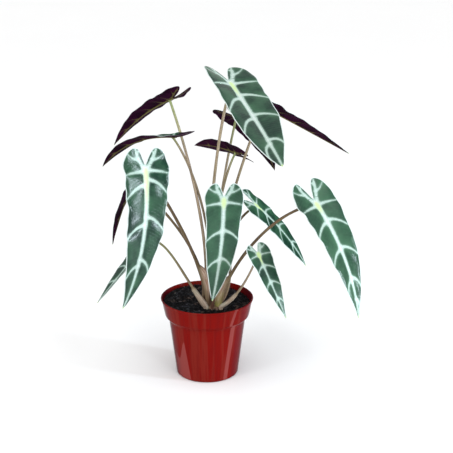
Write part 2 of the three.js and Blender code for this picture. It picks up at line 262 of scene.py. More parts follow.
blade = {
    "thick": 0.7,
    "edgeThick": 0.45,      # thickness at the margin as a share of that
    "edgeTaper": 1.5,       # mm over which it thins
    "sinusDepth": 0.28,     # share of the lobe length that stays joined at the stem
    "sinusCurve": 0.85,
    "lobeTip": 0.45,        # where a lobe ends, as a share of the half width
    "lobeCurve": 2.2,
    "waist": (0.42, 0.06),  # how far ahead of the stem the waist ends, and how deep it is
    "foldRound": 2.0,       # mm over which the fold at the midrib is rounded
    "pillow": 0.9,          # how far the panels rise between the veins
    "pillowSoft": 5.0,
    "pillowEdge": 4.0,
    "ribDrop": 0.9,         # how far the midrib stands out underneath
    "sideDrop": 0.35,       # side ribs as a share of that
    "wave": 1.1,            # waviness of the margin
    "waveRates": (0.16, 0.31),
    "pinchReach": 0.055,    # how near a vein's end the margin stays full
    "pinchFade": (0.08, 0.15),
    "across": 20,
    "along": 100,
    "lobeRows": 26,
    "outlineRows": (24, 30, 70),    # notch, lobe and front
    # widths of the veins as shares of the half width
    "midrib": (0.026, 0.078),       # at the tip, and added at the stem
    "midribCurve": 0.75,
    "sideVein": 0.064,
    "sideVeinEnd": 0.016,
    "lobeVein": (0.085, 0.030),     # from its start to its end
    "forkVein": (0.045, 0.015),
    "innerVein": (0.030, 0.010),
    "veinCurve": 2.0,               # how late a side vein turns to the tip
    "veinReach": 0.985,
    "web": 1.2,                     # mm of rounding where veins meet
    "heartBack": 6,                 # mm of yellow behind the stem, beside it and at the tip
    "heartSide": 4.0,
    "tipYellow": 6,
    "tipRim": (0.07, 1.6),          # length of the tip without a pale rim, and mm
    "stripeGap": 4.2,               # mm between the fine side veins
    "duskFade": (0.2, 12),
}


def leafAxes(leaf):
    h, p, r = (math.radians(leaf[key]) for key in ("heading", "dip", "roll"))
    along = np.array([math.cos(h) * math.cos(p), math.sin(h) * math.cos(p), math.sin(p)])
    level = np.cross(along, [0, 0, 1])
    level /= np.linalg.norm(level)
    lift = np.cross(level, along)
    across = level * math.cos(r) + lift * math.sin(r)
    return along, across, np.cross(across, along)


def bladeSpots(leaf, u, t):
    # middle surface of the blade: u along in lengths, t across in millimetres
    along, across, up = leafAxes(leaf)
    u = np.asarray(u, float)
    t = np.asarray(t, float)
    front = u >= 0
    bend = math.radians(leaf["bend"]) or 1e-6
    lift = math.radians(leaf["lift"]) / leaf["lobe"] or 1e-6
    rate = np.where(front, bend, lift)
    angle = rate * u
    turn = np.where(front, math.radians(leaf["twist"]) * u, 0)
    sweep = np.where(front, math.radians(leaf["sweep"]) * u * u * leaf["long"] * 0.5, 0)
    spots = np.array(leaf["at"], float) + (np.sin(angle) / rate * leaf["long"])[..., None] * along
    spots = spots - ((1 - np.cos(angle)) / rate * leaf["long"])[..., None] * up + sweep[..., None] * across
    normal = np.cos(angle)[..., None] * up + np.sin(angle)[..., None] * along
    side = np.cos(turn)[..., None] * across + np.sin(turn)[..., None] * normal
    normal = np.cos(turn)[..., None] * normal - np.sin(turn)[..., None] * across
    fold = math.radians(leaf["fold"])
    rise = np.sqrt(t * t + blade["foldRound"] ** 2) - blade["foldRound"]
    return spots + (t * math.cos(fold))[..., None] * side + (rise * math.sin(fold))[..., None] * normal


def bladeNormals(leaf, u, t):
    alongStep = bladeSpots(leaf, u + 0.002, t) - bladeSpots(leaf, u - 0.002, t)
    acrossStep = bladeSpots(leaf, u, t + 0.2) - bladeSpots(leaf, u, t - 0.2)
    normal = np.cross(acrossStep, alongStep)
    return normal / np.linalg.norm(normal, axis=-1, keepdims=True)


def marginShare(u, leaf):
    # half width as a share of the widest, ahead of the stem and round the lobes
    ahead = np.clip(u, 0, 1)
    end, depth = blade["waist"]
    dip = np.where(ahead < end, depth * np.sin(np.pi * ahead / end), 0)
    front = np.maximum(0, 1 - ahead ** 2) ** leaf["taper"] - dip
    back = np.clip(-u / leaf["lobe"], 0, 1)
    rear = fromTo((blade["lobeTip"], 1), np.sqrt(np.maximum(0, 1 - back ** blade["lobeCurve"])))
    return np.where(u >= 0, front, rear)


def slantOf(leaf, hand):
    # how far a side vein drifts toward the tip on its way to the margin, in lengths
    return leaf.get("slantPlus", leaf["veinSlant"]) if hand > 0 else leaf["veinSlant"]


def marginPinch(u, leaf, hand):
    # the margin draws in a little between the ends of the side veins
    ends = [start + slantOf(leaf, hand) for start in leaf["veinsPlus" if hand > 0 else "veinsMinus"]]
    near = np.max([np.exp(-((u - end) / blade["pinchReach"]) ** 2) for end in ends], axis=0)
    fadeIn, fadeOut = blade["pinchFade"]
    fade = np.clip(u / fadeIn, 0, 1) * np.clip((1 - u) / fadeOut, 0, 1)
    return 1 - leaf["pinch"] * (1 - near) * fade


def sinusShare(u, lobe):
    # half the notch between the lobes, as a share of the half width
    back = np.clip(-u / lobe, 0, 1)
    gape = np.clip((back - blade["sinusDepth"]) / (1 - blade["sinusDepth"]), 0, 1)
    notch = blade["lobeTip"] * (1 - np.sqrt(1 - gape ** blade["sinusCurve"]))
    return np.where(back > blade["sinusDepth"], notch, 0)


def veinPlan(leaf):
    # every vein as (kind, points along and across in mm, half width at each point)
    long, half, lobe = leaf["long"], leaf["half"], leaf["lobe"]
    slim = half * leaf["fine"]
    behind = lobe * blade["sinusDepth"] * 0.55  # the midrib starts a little behind the stem
    u = np.linspace(0, 1, 40) * (1 + behind) - behind
    base, extra = blade["midrib"]
    widths = slim * (base + extra * np.clip(1 - u, 0, 1) ** blade["midribCurve"])
    plan = [("mid", np.stack([u * long, u * 0], -1), widths)]
    q = np.linspace(0, 1, 16)
    arch = np.sin(np.pi * q)
    for hand, key in ((1, "veinsPlus"), (-1, "veinsMinus")):
        # the lobe's own vein, with a fork to the outer margin and a small one inward
        across = hand * (q * blade["lobeTip"] * half + arch * 0.05 * half)
        lobeVein = np.stack([-q * 0.93 * lobe * long, across], -1)
        endU = -lobe * 0.74
        end = np.array([endU * long, hand * marginShare(np.array(endU), leaf) * half * 0.97])
        fork = lobeVein[8] + (end - lobeVein[8]) * q[:, None]
        fork[:, 0] += arch * 0.012 * long
        inner = lobeVein[12] + np.array([-0.10 * lobe * long, -hand * 0.10 * half]) * q[:, None]
        for line, width in ((lobeVein, "lobeVein"), (fork, "forkVein"), (inner, "innerVein")):
            plan.append(("side", line, half * fromTo(blade[width], q)))
        for number, start in enumerate(leaf[key]):
            # the first pair leaves the stem nearly straight and is a little thinner
            u = start + slantOf(leaf, hand) * (0.25 if number == 0 else 1.0) * q ** blade["veinCurve"]
            t = hand * q * marginShare(u, leaf) * marginPinch(u, leaf, hand) * half * blade["veinReach"]
            width = blade["sideVein"] * (1 - 0.45 * start) * (0.9 if number == 0 else 1.0)
            widths = slim * (width * (1 - q) ** 0.9 + blade["sideVeinEnd"])
            plan.append(("side", np.stack([u * long, t], -1), widths))
    return plan


def nearSegment(spots, a, b):
    # share along the segment of each spot's nearest point, and the distance to it
    way = b - a
    share = np.clip(((spots - a) @ way) / (way @ way + 1e-9), 0, 1)
    return share, np.linalg.norm(spots - a - share[:, None] * way, axis=1)


def distanceToVeins(spots, plan):
    # signed distance in mm to the edge of the nearest vein, with webs where veins meet
    total = np.zeros(len(spots))
    for kind, line, widths in plan:
        nearest = np.full(len(spots), 99.0)
        for a, b, wa, wb in zip(line[:-1], line[1:], widths[:-1], widths[1:]):
            share, away = nearSegment(spots, a, b)
            nearest = np.minimum(nearest, away - fromTo((wa, wb), share))
        if kind == "mid":
            middle = nearest
        total += np.exp(-np.clip(nearest, -12, 40) / blade["web"])
    return -blade["web"] * np.log(total), middle


def outlineOf(leaf):
    # the margin as one line of points in mm, from the notch round each side to the tip
    long, half, lobe = leaf["long"], leaf["half"], leaf["lobe"]
    join = -lobe * blade["sinusDepth"]
    quarters = [np.linspace(0, np.pi / 2, count) for count in blade["outlineRows"][:2]]
    notch = -lobe + (join + lobe) * (1 - np.cos(quarters[0]))[::-1]
    rear = -lobe * np.cos(quarters[1])[1:]
    ahead = np.linspace(0, 1, blade["outlineRows"][2])[1:]
    along = np.concatenate([notch, rear, ahead]) * long
    sides = []
    for hand in (1, -1):
        across = np.concatenate([sinusShare(notch, lobe), marginShare(rear, leaf),
                                 marginShare(ahead, leaf) * marginPinch(ahead, leaf, hand)]) * half
        sides.append(np.stack([along, hand * across], -1))
    return np.concatenate([sides[0], sides[1][::-1]])


def distanceToLine(spots, line):
    nearest = np.full(len(spots), 99.0)
    for a, b in zip(line[:-1], line[1:]):
        nearest = np.minimum(nearest, nearSegment(spots, a, b)[1])
    return nearest


def bladeGrid(leaf):
    # rows from the lobes' ends to the tip, columns from the middle to the margin, for both sides
    half, lobe = leaf["half"], leaf["lobe"]
    join = -lobe * blade["sinusDepth"]
    rear = -lobe + (join + lobe) * (1 - np.cos(np.linspace(0, np.pi / 2, blade["lobeRows"])))
    neck = np.linspace(join, 0, 7)[1:]
    ahead = 1 - (1 - np.linspace(0, 1, blade["along"] + 1)[1:]) ** 1.12
    rows = np.concatenate([rear, neck, ahead])[:, None]
    isLobe = rows < join - 1e-9
    even = np.linspace(0, 1, blade["across"] + 1)[None, :]
    forward = fromTo((np.sin(even * np.pi / 2), even), 0.65)
    columns = np.where(isLobe, 0.5 - 0.5 * np.cos(even * np.pi), forward)
    inner = sinusShare(rows, lobe) * half
    outer = np.maximum(inner, marginShare(rows, leaf) * half)
    u, t = [], []
    for hand in (1, -1):
        edge = np.maximum(inner, outer * marginPinch(rows, leaf, hand))
        side = inner + (edge - inner) * columns
        t.append(hand * side.ravel())
        u.append(np.broadcast_to(rows, side.shape).ravel())
    return np.concatenate(u), np.concatenate(t), isLobe[:, 0], even.shape[1]


def bladeFaces(isLobe, columnCount):
    # top and bottom faces of both sides, the rim round the margin and the walls of the notch
    rowCount = len(isLobe)
    count = 2 * rowCount * columnCount
    faces, slots = [], []
    for hand in (0, 1):

        def at(i, j, under=0):
            return (hand * rowCount + i) * columnCount + j + under * count

        def wall(i, j, near, far):
            quad = (at(i, j, near), at(i, j, far), at(i + 1, j, far), at(i + 1, j, near))
            faces.append(quad if hand == 0 else tuple(reversed(quad)))
            slots.append(0)

        for i in range(rowCount - 1):
            for j in range(columnCount - 1):
                a, b, c, d = at(i, j), at(i, j + 1), at(i + 1, j + 1), at(i + 1, j)
                quad = (a, b, c, d) if hand == 0 else (a, d, c, b)
                faces += [quad, tuple(v + count for v in reversed(quad))]
                slots += [0, 1]
            wall(i, columnCount - 1, 0, 1)
            if isLobe[i]:
                wall(i, 0, 1, 0)
    return faces, slots


def growBlade(leaf):
    long, half, lobe = leaf["long"], leaf["half"], leaf["lobe"]
    seed = random.Random("blade " + leaf["name"])
    phase = [seed.uniform(0, 6.28) for _ in range(4)]
    u, t, isLobe, columnCount = bladeGrid(leaf)
    flat = np.stack([u * long, t], -1)
    veinEdge, midEdge = distanceToVeins(flat, veinPlan(leaf))
    rimEdge = distanceToLine(flat, outlineOf(leaf))
    # panels rise between the veins and the margin waves, both less on a small leaf
    small = half / 30
    pillow = blade["pillow"] * small * (1 - np.exp(-np.maximum(veinEdge, 0) / blade["pillowSoft"]))
    pillow *= np.clip(rimEdge / blade["pillowEdge"], 0, 1)
    slow, quick = blade["waveRates"]
    swing = np.sin(u * long * slow + phase[0] + np.where(t > 0, phase[1], phase[2]))
    swing += 0.6 * np.sin(u * long * quick + np.where(t > 0, phase[3], phase[0]))
    wave = blade["wave"] * leaf["wavy"] * small * swing
    wave *= np.clip(np.abs(t) / (half * 0.95), 0, 1) ** 3
    wave *= np.clip((u + lobe) / (0.3 * lobe), 0.25, 1) * np.clip((1 - u) * 5, 0, 1)
    normal = bladeNormals(leaf, u, t)
    middle = bladeSpots(leaf, u, t) + normal * (pillow + wave)[:, None]
    rib = blade["ribDrop"] * np.clip(-midEdge / (0.10 * half), 0, 1) ** 0.6
    rib += blade["sideDrop"] * blade["ribDrop"] * np.clip(-veinEdge / (0.06 * half), 0, 1)
    thick = blade["thick"] * fromTo((blade["edgeThick"], 1), np.clip(rimEdge / blade["edgeTaper"], 0, 1))
    top = middle + normal * (thick / 2)[:, None]
    bottom = middle - normal * (thick / 2 + rib)[:, None]
    # distance from the stem's joint, longer along the midrib; the very tip yellows in the same way
    heart = flat[:, 0] / np.where(flat[:, 0] > 0, leaf["heartLong"], blade["heartBack"])
    heart = np.sqrt(heart ** 2 + (t / blade["heartSide"]) ** 2)
    heart = np.minimum(heart, 0.3 + (1 - u) * long / blade["tipYellow"])
    tipLong, tipExtra = blade["tipRim"]
    rimEdge = rimEdge + tipExtra * np.clip(1 - (1 - u) / tipLong, 0, 1)
    stripe = (u - leaf["veinSlant"] * (np.abs(t) / half) ** 1.7) * long / blade["stripeGap"] * math.pi
    full, fade = blade["duskFade"]
    floats = {
        "veinEdge": np.clip(veinEdge, -6, 20),
        "midEdge": np.clip(midEdge, -6, 20),
        "rimEdge": np.clip(rimEdge, 0, 20),
        "heart": np.clip(heart, 0, 4),
        "stripe": stripe,
        "tone": np.full(len(u), leaf["tone"]),
        "dusk": leaf["dusk"] * np.clip(full - u * fade, 0, 1),
    }
    span = max(long * (1 + lobe), 4.2 * half) * 1.04  # top and bottom lie side by side in the square
    uv = np.stack([0.25 + t / span, (u * long + lobe * long) / span + 0.01], -1)
    faces, slots = bladeFaces(isLobe, columnCount)
    piece = meshPiece("leaf_" + leaf["name"], np.concatenate([top, bottom]), faces,
                      {key: np.tile(values, 2) for key, values in floats.items()}, slots,
                      np.concatenate([uv, uv + [0.5, 0]]),
                      (leafTopDull if leaf["dull"] else leafTop, leafUnder))
    tidyMesh(piece)
    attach(piece, "root")
    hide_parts("blade_" + leaf["name"])


stemLook = {
    "olive": (0.165, 0.130, 0.048),
    "olivePale": (0.305, 0.268, 0.158),
    "brown": (0.092, 0.044, 0.017),
    "purple": (0.068, 0.025, 0.029),
    "foot": (0.250, 0.155, 0.105),
    "neckGreen": (0.310, 0.400, 0.150),
    "sheath": (0.350, 0.190, 0.125),
    "sheathPale": (0.630, 0.480, 0.370),
    "sheathRed": (0.080, 0.026, 0.018),
    "tubeGrey": (0.360, 0.370, 0.290),
    "baseGreen": (0.400, 0.380, 0.120),
    "streakRound": 2.0,         # larger for more streaks round a stem
    "streakLong": 0.020,        # smaller for longer streaks
    "streakScale": 3.4,
    "broadScale": 55.0,
    "fleckScale": 620.0,
    "paintedSideShade": (0.66, 0.95, 0.62),    # painted shade on the sides: where it begins and is full, and its strength
    "rough": 0.36,
    "roughMore": 0.14,
    "shine": 0.20,
    "relief": (0.5, 0.0004),
}


def makeStemSkin(look):
    r = Recipe("stem_skin")
    place = r.places()
    around, wing = r.read("around"), r.read("wing")
    ring = r.node("ShaderNodeCombineXYZ", inputs={
        "X": r.times(r.maths("COSINE", around), look["streakRound"]),
        "Y": r.times(r.maths("SINE", around), look["streakRound"]),
        "Z": r.times(r.read("alongStem"), look["streakLong"])})
    streak = r.noise(ring, look["streakScale"], 5.0, 0.6)
    broad = r.noise(place, look["broadScale"], 3.0)
    fleck = r.noise(place, look["fleckScale"], 3.0)
    start, full, share = look["paintedSideShade"]
    # painted shade: a darker strip down each of the stem's two sides
    paintedSideShades = r.ramp(r.maths("ABSOLUTE", r.maths("COSINE", around)), start, full, 0.0, share)
    # the bare stem: olive with long pale and purple streaks
    colour = r.mix(r.ramp(streak, 0.42, 0.56), look["olive"], look["olivePale"])
    colour = r.mix(r.ramp(streak, 0.53, 0.62, 0.0, 0.65), colour, look["purple"])
    colour = r.mix(r.times(r.read("dark"), 0.95), colour, look["brown"])
    colour = r.mix(r.times(r.read("pale"), r.ramp(streak, 0.30, 0.60)), colour, look["sheathPale"])
    colour = r.mix(r.ramp(broad, 0.45, 0.7, 0.0, 0.25), colour, look["purple"])
    # painted shade on the sides, in purple
    colour = r.mix(paintedSideShades, colour, look["purple"])
    colour = r.mix(r.times(r.read("foot"), 0.6), colour, look["foot"])
    # the sheath: fleshy beige with fine long veins, reddish toward its thin edge
    skin = r.mix(r.ramp(streak, 0.40, 0.58), look["sheath"], look["sheathPale"])
    skin = r.mix(r.ramp(wing, 0.72, 0.92), skin, look["sheathRed"])
    skin = r.mix(r.ramp(broad, 0.46, 0.62, 0.0, 0.30), skin, look["foot"])
    # painted shade on the sheath's sides, in dark red
    skin = r.mix(r.times(paintedSideShades, 0.9), skin, look["sheathRed"])
    colour = r.mix(r.ramp(wing, 0.10, 0.55), colour, skin)
    # closed tubes are greyer, some feet redder or greener, and every neck is greener
    tube = r.times(r.read("tube"), r.ramp(broad, 0.35, 0.6, 0.85, 0.35))
    colour = r.mix(tube, colour, look["tubeGrey"])
    colour = r.mix(r.times(r.read("ruddy"), 0.8), colour, look["sheathRed"])
    base = r.times(r.read("baseGreen"), r.ramp(broad, 0.35, 0.60, 0.35, 1.0))
    colour = r.mix(base, colour, look["baseGreen"])
    colour = r.mix(r.ramp(fleck, 0.62, 0.72, 0.0, 0.35), colour, look["purple"])
    colour = r.mix(r.read("neck"), colour, look["neckGreen"])
    rough = r.ramp(broad, 0.3, 0.7, look["rough"], look["rough"] + look["roughMore"])
    normal = r.bump(r.plus(streak, r.times(fleck, 0.25)), look["relief"])
    return r.finish(colour, rough, normal, Specular_IOR_Level=look["shine"])


stemSkin = makeStemSkin(stemLook)

stem = {
    "foot": 101.7,          # height where the stem leaves the corm
    "buried": 95.5,         # how deep its base goes on into the soil
    "buriedRows": 4,
    "gap": 0.2,             # mm between its end and the middle of the blade
    "sides": 30,
    "rings": 96,
    "spacing": 1.15,        # rings lie closer near the foot
    "thinning": 0.7,
    "flare": 0.35,          # widening where it runs into the blade's midrib
    "flareLong": 0.025,
    "ribs": ((5, 0.028, 1), (11, 0.012, 0)),    # number round the stem, height as a share, random turn
    "knobs": ((9.0, 0.025, 1), (3.7, 0.020, 2)),    # length in mm, height as a share, random shift
    "thinEdge": 0.62,       # how much thinner a sheath is at its open edge
    "groove": 0.40,         # hollow down the front of a sheath
    "sheathBase": 0.85,     # width of a sheath below its foot
}


def bezier(points, share):
    a, b, c, d = (np.array(p, float) for p in points)
    s = np.asarray(share, float)[..., None]
    return a * (1 - s) ** 3 + 3 * b * s * (1 - s) ** 2 + 3 * c * s * s * (1 - s) + d * s ** 3


def stemRoute(leaf):
    # the stem's curve: root on the corm, two handles, and the underside of the blade
    up = leafAxes(leaf)[2]
    end = np.array(leaf["at"], float) - up * stem["gap"]
    return [leaf["root"] + (stem["foot"],), leaf["rise"], leaf["reach"], end]


def sheathSwell(leaf, share):
    # 0 where the stem is bare, 1 where the sheath is widest
    sheath = leaf["sheath"]
    if not sheath:
        return np.zeros_like(share)
    reach = np.clip(share / sheath["high"], 0, 1)
    if sheath["hand"]:
        return np.sin(np.pi * reach ** sheath["skew"]) ** 0.8
    # a closed tube with a short step where the stem comes out of it
    return np.clip((1 - reach) / 0.07, 0, 1) ** 0.5 * (0.45 + 0.55 * (1 - reach) ** 0.8)


def carryFrame(centres):
    # directions round a curve that don't spin: forward, wide and deep at each centre
    forward = np.gradient(centres, axis=0)
    forward /= np.linalg.norm(forward, axis=1, keepdims=True)
    wide = np.array([1.0, 0, 0])
    wides = []
    for way in forward:
        wide = wide - way * (wide @ way)
        wide /= np.linalg.norm(wide)
        wides.append(wide)
    wides = np.array(wides)
    return forward, wides, np.cross(forward, wides)


def stemInks(leaf, angle, lengths, swell, openSide, hand):
    # the numbers on a stem's points that its material reads
    sides, rings = len(angle), len(lengths)
    along = np.repeat(lengths, sides)
    left = lengths[-1] - along
    dark = leaf["dark"] * np.clip((along - 10) / 60, 0.2, 1)
    dark = dark + leaf["lowDark"] * np.clip(1 - (along - 60) / 90, 0, 1)
    wing = swell[:, None] * (openSide if hand else np.full((1, sides), 0.6))
    return {
        "around": np.tile(angle, rings),
        "alongStem": along,
        "neck": leaf["neck"] * np.clip(1 - left / leaf["neckLong"], 0, 1) ** 1.2,
        "foot": np.clip(1 - (along - 8) / 45, 0, 1),
        "dark": np.clip(dark, 0, 1),
        "pale": leaf["pale"] * np.clip(along / lengths[-1] * 1.4, 0.3, 1),
        "wing": wing.ravel(),
        "tube": np.repeat(swell * (1 - abs(hand)), sides),
        "ruddy": leaf["ruddy"] * np.clip(1 - (along - 30) / 15, 0, 1),
        "baseGreen": leaf["baseGreen"] * np.clip(1 - (along - 10) / 18, 0, 1),
    }


def growStem(leaf):
    share = np.linspace(0, 1, stem["rings"]) ** stem["spacing"]
    centres = bezier(stemRoute(leaf), share)
    buriedRows = stem["buriedRows"]
    drop = np.linspace(stem["buried"], stem["foot"], buriedRows + 1)[:-1]
    centres = np.concatenate([[[centres[0, 0], centres[0, 1], z] for z in drop], centres])
    share = np.concatenate([np.zeros(buriedRows), share])
    forward, wide, deep = carryFrame(centres)
    size = fromTo(leaf["thick"], share ** stem["thinning"])
    flare = np.clip((share - 1) / stem["flareLong"] + 1, 0, 1) ** 2
    size = size * (1 + stem["flare"] * flare)
    # a sheath opens to one side (hand 1 or -1) or is a closed tube (hand 0)
    sheath = leaf["sheath"]
    hand = sheath["hand"] if sheath else 0
    swell = sheathSwell(leaf, share)
    halfWide = halfDeep = size
    if sheath:
        # below its foot it keeps the width it has just above it
        steady = buriedRows + 3
        swell[:steady] = np.maximum(swell[:steady] * abs(hand), swell[steady] * stem["sheathBase"])
        halfWide = fromTo((size, sheath["half"]), swell)
        halfDeep = fromTo((size, sheath["deep"]), swell)
    seed = random.Random("stem " + leaf["name"])
    turns = seed.uniform(0, 6.28)
    sides, rings = stem["sides"], len(centres)
    angle = np.linspace(0, 2 * math.pi, sides, endpoint=False)
    lengths = np.concatenate([[0], np.cumsum(np.linalg.norm(np.diff(centres, axis=0), axis=1))])
    knobs = ribs = 1
    for length, high, turned in stem["knobs"]:
        knobs = knobs + high * np.sin(lengths / length + turned * turns)
    for many, high, turned in stem["ribs"]:
        ribs = ribs + high * np.cos(angle * many + turned * turns)
    # an open sheath is thinner toward one side and hollow in front
    openSide = (hand * np.cos(angle)[None, :] + 1) / 2 * abs(hand)
    frontSide = np.clip(-np.sin(angle), 0, 1)[None, :]
    thin = 1 - stem["thinEdge"] * openSide * swell[:, None]
    thin = thin * (1 - stem["groove"] * frontSide * swell[:, None] * openSide ** 0.5)
    x = (halfWide * knobs)[:, None] * ribs * np.cos(angle) + (hand * (halfWide - size))[:, None]
    y = (halfDeep * knobs)[:, None] * ribs * np.sin(angle) * thin
    spots = centres[:, None] + x[..., None] * wide[:, None] + y[..., None] * deep[:, None]
    # the top end is trimmed to the blade's plane
    up = leafAxes(leaf)[2]
    over = (spots - centres[-1]) @ up
    slope = forward[-1] @ up
    trim = np.clip(over, 0, None) / slope if slope > 0.2 else over * 0
    spots = spots - trim[..., None] * forward[-1]
    ends = [tuple(reversed(range(sides))), tuple((rings - 1) * sides + k for k in range(sides))]
    floats = stemInks(leaf, angle, lengths, swell, openSide, hand)
    floats["alongStem"] = floats["alongStem"] + seed.uniform(0, 500)  # no two stems streaked alike
    piece = meshPiece("stem_" + leaf["name"] + "_skin", spots.reshape(-1, 3), ringFaces(rings, sides) + ends,
                      floats, materials=(stemSkin,))
    tidyMesh(piece)
    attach(piece, "root")
    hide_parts("stem_" + leaf["name"])


# what a leaf has unless its own dictionary says otherwise
leafDefaults = {
    "taper": 1,             # below 1 the front of the blade is fuller
    "pinch": 0.045,         # how far the margin draws in between the side veins
    "wavy": 1.0,
    "veinSlant": 0.10,      # how far the side veins drift toward the tip; slantPlus is for one side only
    "fine": 1.0,            # width of the veins
    "heartLong": 14,        # mm of yellow along the midrib
    "tone": 0.2,            # above 0 a lighter green, below 0 a deeper one
    "dusk": 0.0,            # dark purple on the upper face of the lobes
    "dull": False,
    "sheath": None,
    "neck": 0.2,            # green at the top of the stem, and its length in mm
    "neckLong": 20,
    "dark": 0.0,            # browner stem; lowDark is the same for its lower part
    "lowDark": 0.0,
    "pale": 0.0,
    "ruddy": 0.0,           # redder or greener foot
    "baseGreen": 0.0,
}

# at is where stem and blade meet; long, half and lobe are the blade's length, half width and lobe share
# heading, dip and roll aim the blade; bend, fold, sweep, twist and lift curve it
# root, rise and reach shape the stem, and thick is its radius at the foot and at the neck
# veinsPlus and veinsMinus say where the side veins start on each side
upperLeft = {
    "name": "upper_left", "at": (-47, 45, 355), "long": 126, "half": 22, "lobe": 0.25,
    "heading": 140, "dip": -25, "roll": -13, "bend": 25, "fold": 14, "sweep": 3, "twist": 4, "lift": -23,
    "root": (-3, -12.5), "rise": (8, -8, 180), "reach": (-24, 24, 292), "thick": (2.2, 1.6),
    "veinsPlus": (0.01, 0.14, 0.35, 0.56, 0.76), "veinsMinus": (0.0, 0.10, 0.30, 0.52, 0.72),
    "veinSlant": 0.11, "tone": 0.3, "neck": 0.85, "neckLong": 75, "pale": 0.9,
    "lowDark": 0.55, "dusk": 0.9, "dull": True,
}
levelLeft = {
    "name": "level_left", "at": (-42, 0, 318), "long": 118, "half": 22, "lobe": 0.23,
    "heading": 163, "dip": -1, "roll": -8, "bend": 49, "fold": 9, "sweep": 25, "twist": -28, "lift": -27,
    "root": (1, -7.5), "rise": (14, 8, 165), "reach": (-10, 32, 262), "thick": (2.0, 1.4),
    "veinsPlus": (0.01, 0.15, 0.36, 0.58, 0.78), "veinsMinus": (0.0, 0.11, 0.32, 0.54, 0.74),
    "veinSlant": 0.11, "neck": 0.6, "neckLong": 22, "dark": 0.2, "pale": 0.3,
    "lowDark": 0.4, "dusk": 0.9, "dull": True,
}
frontLeft = {
    "name": "front_left", "at": (-72, -70, 293), "long": 173, "half": 32, "lobe": 0.17, "taper": 0.92,
    "heading": -77, "dip": -68, "roll": 22, "bend": 36, "fold": 4, "sweep": 11, "twist": 5, "lift": -16,
    "root": (1, -22.5), "rise": (-3, -24, 163), "reach": (-56, -38, 262), "thick": (2.3, 1.8),
    "sheath": {"high": 0.27, "half": 5.8, "deep": 3.4, "skew": 1.8, "hand": 1},
    "veinsPlus": (0.0, 0.095, 0.37, 0.665), "veinsMinus": (-0.01, 0.055, 0.315, 0.62),
    "tone": -0.1, "neck": 0.3, "neckLong": 30, "dark": 0.60, "heartLong": 48, "wavy": 1.3,
}
frontCentre = {
    "name": "front_centre", "at": (22, -55, 251), "long": 134, "half": 25, "lobe": 0.17, "taper": 0.9,
    "heading": -96, "dip": -78, "roll": 22, "bend": 27, "fold": 4, "sweep": 3, "twist": -1, "lift": -13,
    "root": (7, -29.5), "rise": (15, -32, 150), "reach": (22, -20, 236), "thick": (2.0, 1.6),
    "veinsPlus": (0.02, 0.285, 0.56), "veinsMinus": (0.01, 0.27, 0.54),
    "veinSlant": 0.09, "tone": 0.6, "neck": 0.4, "neckLong": 30, "dark": 0.3, "ruddy": 1.0, "heartLong": 11,
}
topLeaf = {
    "name": "top", "at": (31, -25, 390), "long": 173, "half": 35, "lobe": 0.2, "taper": 0.8,
    "heading": -63, "dip": -25, "roll": 9, "bend": -8, "fold": 16, "sweep": 14, "twist": -34, "lift": 11,
    "root": (3, -18.5), "rise": (0, -18, 188), "reach": (11, -20, 322), "thick": (2.3, 1.7),
    "veinsPlus": (0.01, 0.175, 0.415, 0.73), "veinsMinus": (0.0, 0.135, 0.375, 0.68),
    "veinSlant": 0.125, "slantPlus": 0.17, "tone": 0.0, "neck": 0.35, "neckLong": 30,
    "pale": 0.45, "heartLong": 26, "wavy": 0.35, "pinch": 0.035,
}
backRight = {
    "name": "back_right", "at": (70, 10, 355), "long": 144, "half": 26, "lobe": 0.21,
    "heading": 24, "dip": -30, "roll": 4, "bend": 2, "fold": 21, "sweep": 3, "twist": -4, "lift": 6,
    "root": (13, -18.5), "rise": (4, -14, 176), "reach": (47, -13, 291), "thick": (2.1, 1.6),
    "veinsPlus": (0.01, 0.14, 0.34, 0.55, 0.76), "veinsMinus": (0.0, 0.12, 0.33, 0.53, 0.74),
    "dark": 0.2, "pale": 0.2,
}
backUpper = {
    "name": "back_upper", "at": (38, 60, 328), "long": 129, "half": 23, "lobe": 0.26,
    "heading": 46, "dip": -34, "roll": 22, "bend": 17, "fold": 3, "sweep": -20, "twist": 0, "lift": 7,
    "root": (8, -6.5), "rise": (5, 18, 171), "reach": (26, 64, 275), "thick": (2.0, 1.5),
    "veinsPlus": (0.01, 0.13, 0.34, 0.55, 0.76), "veinsMinus": (0.0, 0.12, 0.33, 0.53, 0.74),
    "neck": 0.7, "neckLong": 55, "pale": 0.3,
}
backLower = {
    "name": "back_lower", "at": (37, 25, 291), "long": 93, "half": 16, "lobe": 0.3,
    "heading": 133, "dip": 5, "roll": -46, "bend": 5, "fold": 11, "sweep": 29, "twist": -14, "lift": 6,
    "root": (9, -12.5), "rise": (5, -1, 156), "reach": (14, 8, 251), "thick": (2.0, 1.4),
    "veinsPlus": (0.01, 0.14, 0.36, 0.60), "veinsMinus": (0.0, 0.12, 0.34, 0.58),
    "tone": 0.4, "neck": 0.9, "neckLong": 24, "pale": 0.2,
    "dusk": 1.0, "dull": True,
}
rightMiddle = {
    "name": "right_middle", "at": (64, 25, 220), "long": 124, "half": 23, "lobe": 0.2,
    "heading": 22, "dip": -43, "roll": -29, "bend": 19, "fold": -2, "sweep": 1, "twist": -20, "lift": 9,
    "root": (18, -14.5), "rise": (46, -3, 135), "reach": (8, 5, 193), "thick": (2.0, 1.5),
    "veinsPlus": (0.01, 0.16, 0.40, 0.66), "veinsMinus": (0.0, 0.14, 0.38, 0.64),
    "tone": 0.1, "fine": 0.72, "neck": 0.3, "neckLong": 25, "dull": True, "dark": 0.7,
}
